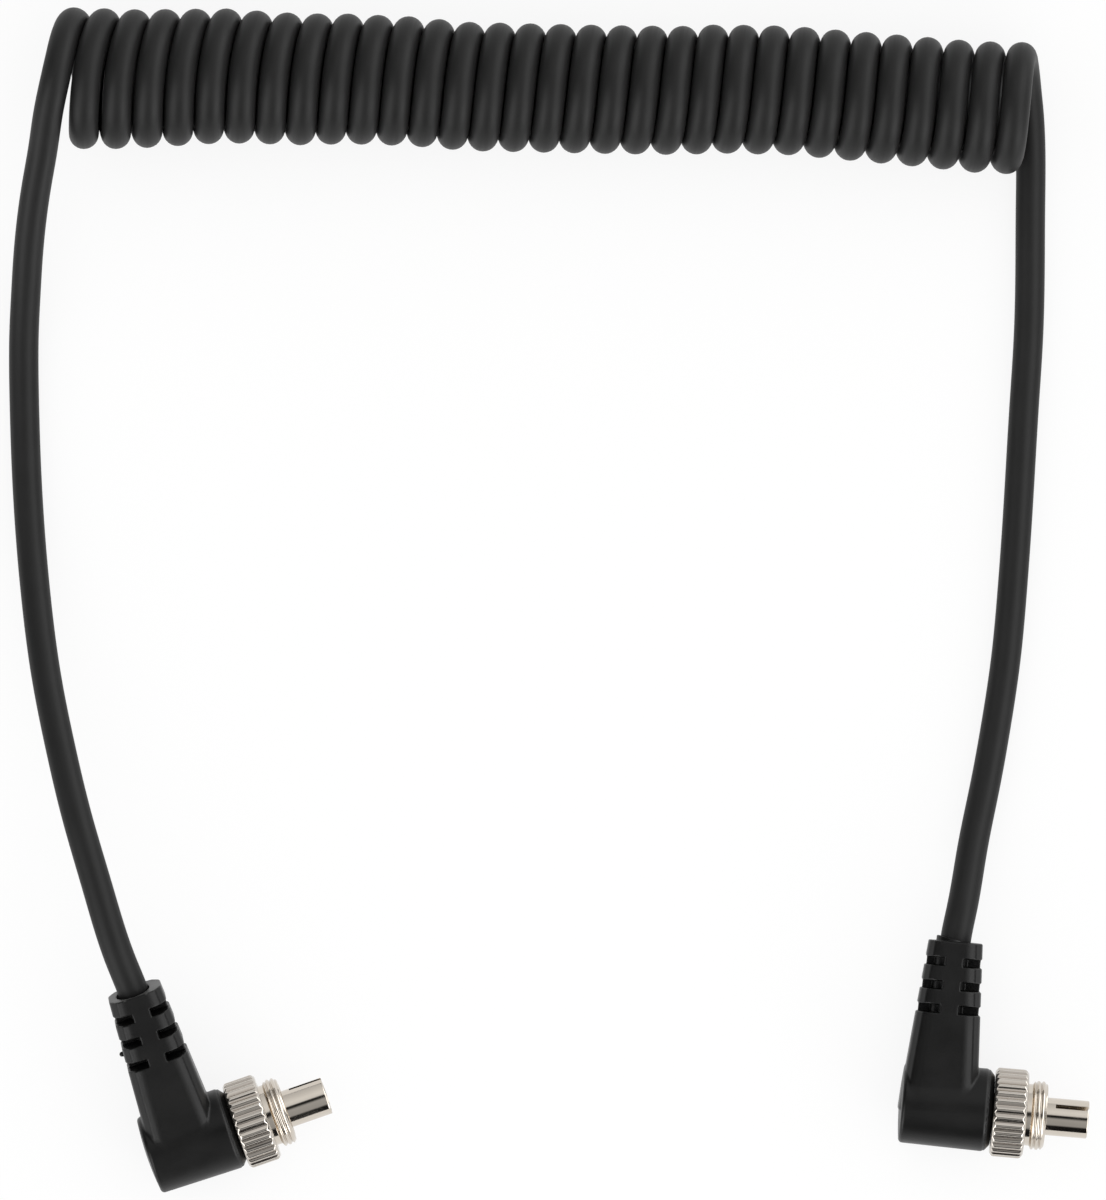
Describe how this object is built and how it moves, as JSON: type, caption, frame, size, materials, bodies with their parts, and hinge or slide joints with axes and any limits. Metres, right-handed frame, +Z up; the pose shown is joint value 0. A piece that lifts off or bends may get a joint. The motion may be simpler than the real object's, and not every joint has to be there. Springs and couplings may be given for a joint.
{
  "type": "coiled flash sync cord",
  "caption": "Curly cord with a right-angle coaxial plug and knurled screw-lock ring at either end, for joining a camera's sync socket to a flash.",
  "frame": {"origin": "on the table under the middle of the two plugs taken together, without the cord", "axes": "+X along the coil from the left plug's end to the right plug's, +Y from the plugs to the coil, +Z up from the table that the cord lies on"},
  "size_m": [0.1257, 0.1374, 0.0159],
  "materials": {
    "cord_black": "soft black PVC sheath, satin",
    "housing_black": "moulded black PVC, semi-matt",
    "nickel": "nickel-plated turned brass, bright",
    "brass": "plain turned brass",
    "tinned_copper": "tinned copper, dull",
    "natural_nylon": "natural nylon",
    "wire_white": "white wire insulation"
  },
  "bodies": {
    "left_end": {"cord_coil": "cord_black", "cord_left_lead": "cord_black", "left_elbow_housing": "housing_black", "left_contact_sleeve": "nickel", "left_centre_pin": "brass", "left_insulator_bush": "natural_nylon", "left_body_bush": "brass", "left_ground_tag": "tinned_copper", "left_crimp_ferrule": "tinned_copper", "left_shield_pigtail": "tinned_copper", "left_core_wire": "wire_white"},
    "left_ring": {"left_lock_ring": "nickel"},
    "right_end": {"cord_right_lead": "cord_black", "right_elbow_housing": "housing_black", "right_contact_sleeve": "nickel", "right_centre_pin": "brass", "right_insulator_bush": "natural_nylon", "right_body_bush": "brass", "right_ground_tag": "tinned_copper", "right_crimp_ferrule": "tinned_copper", "right_shield_pigtail": "tinned_copper", "right_core_wire": "wire_white"},
    "right_ring": {"right_lock_ring": "nickel"}
  },
  "joints": [
    {"name": "coil_stretch", "type": "slide", "parent": "left_end", "child": "right_end", "axis": [1, 0, 0], "range_m": [0, 0.3], "stiffness_N_per_m": 6, "deforming": ["cord_coil"]},
    {"name": "left_ring_spin", "type": "hinge", "parent": "left_end", "child": "left_ring", "pos_m": [-0.04784, -0.00904, 0.0052], "axis": [0.9449, 0.3272, 0], "continuous": true},
    {"name": "right_ring_spin", "type": "hinge", "parent": "right_end", "child": "right_ring", "pos_m": [0.0398, -0.00476, 0.0052], "axis": [0.9962, -0.0872, 0], "continuous": true}
  ]
}
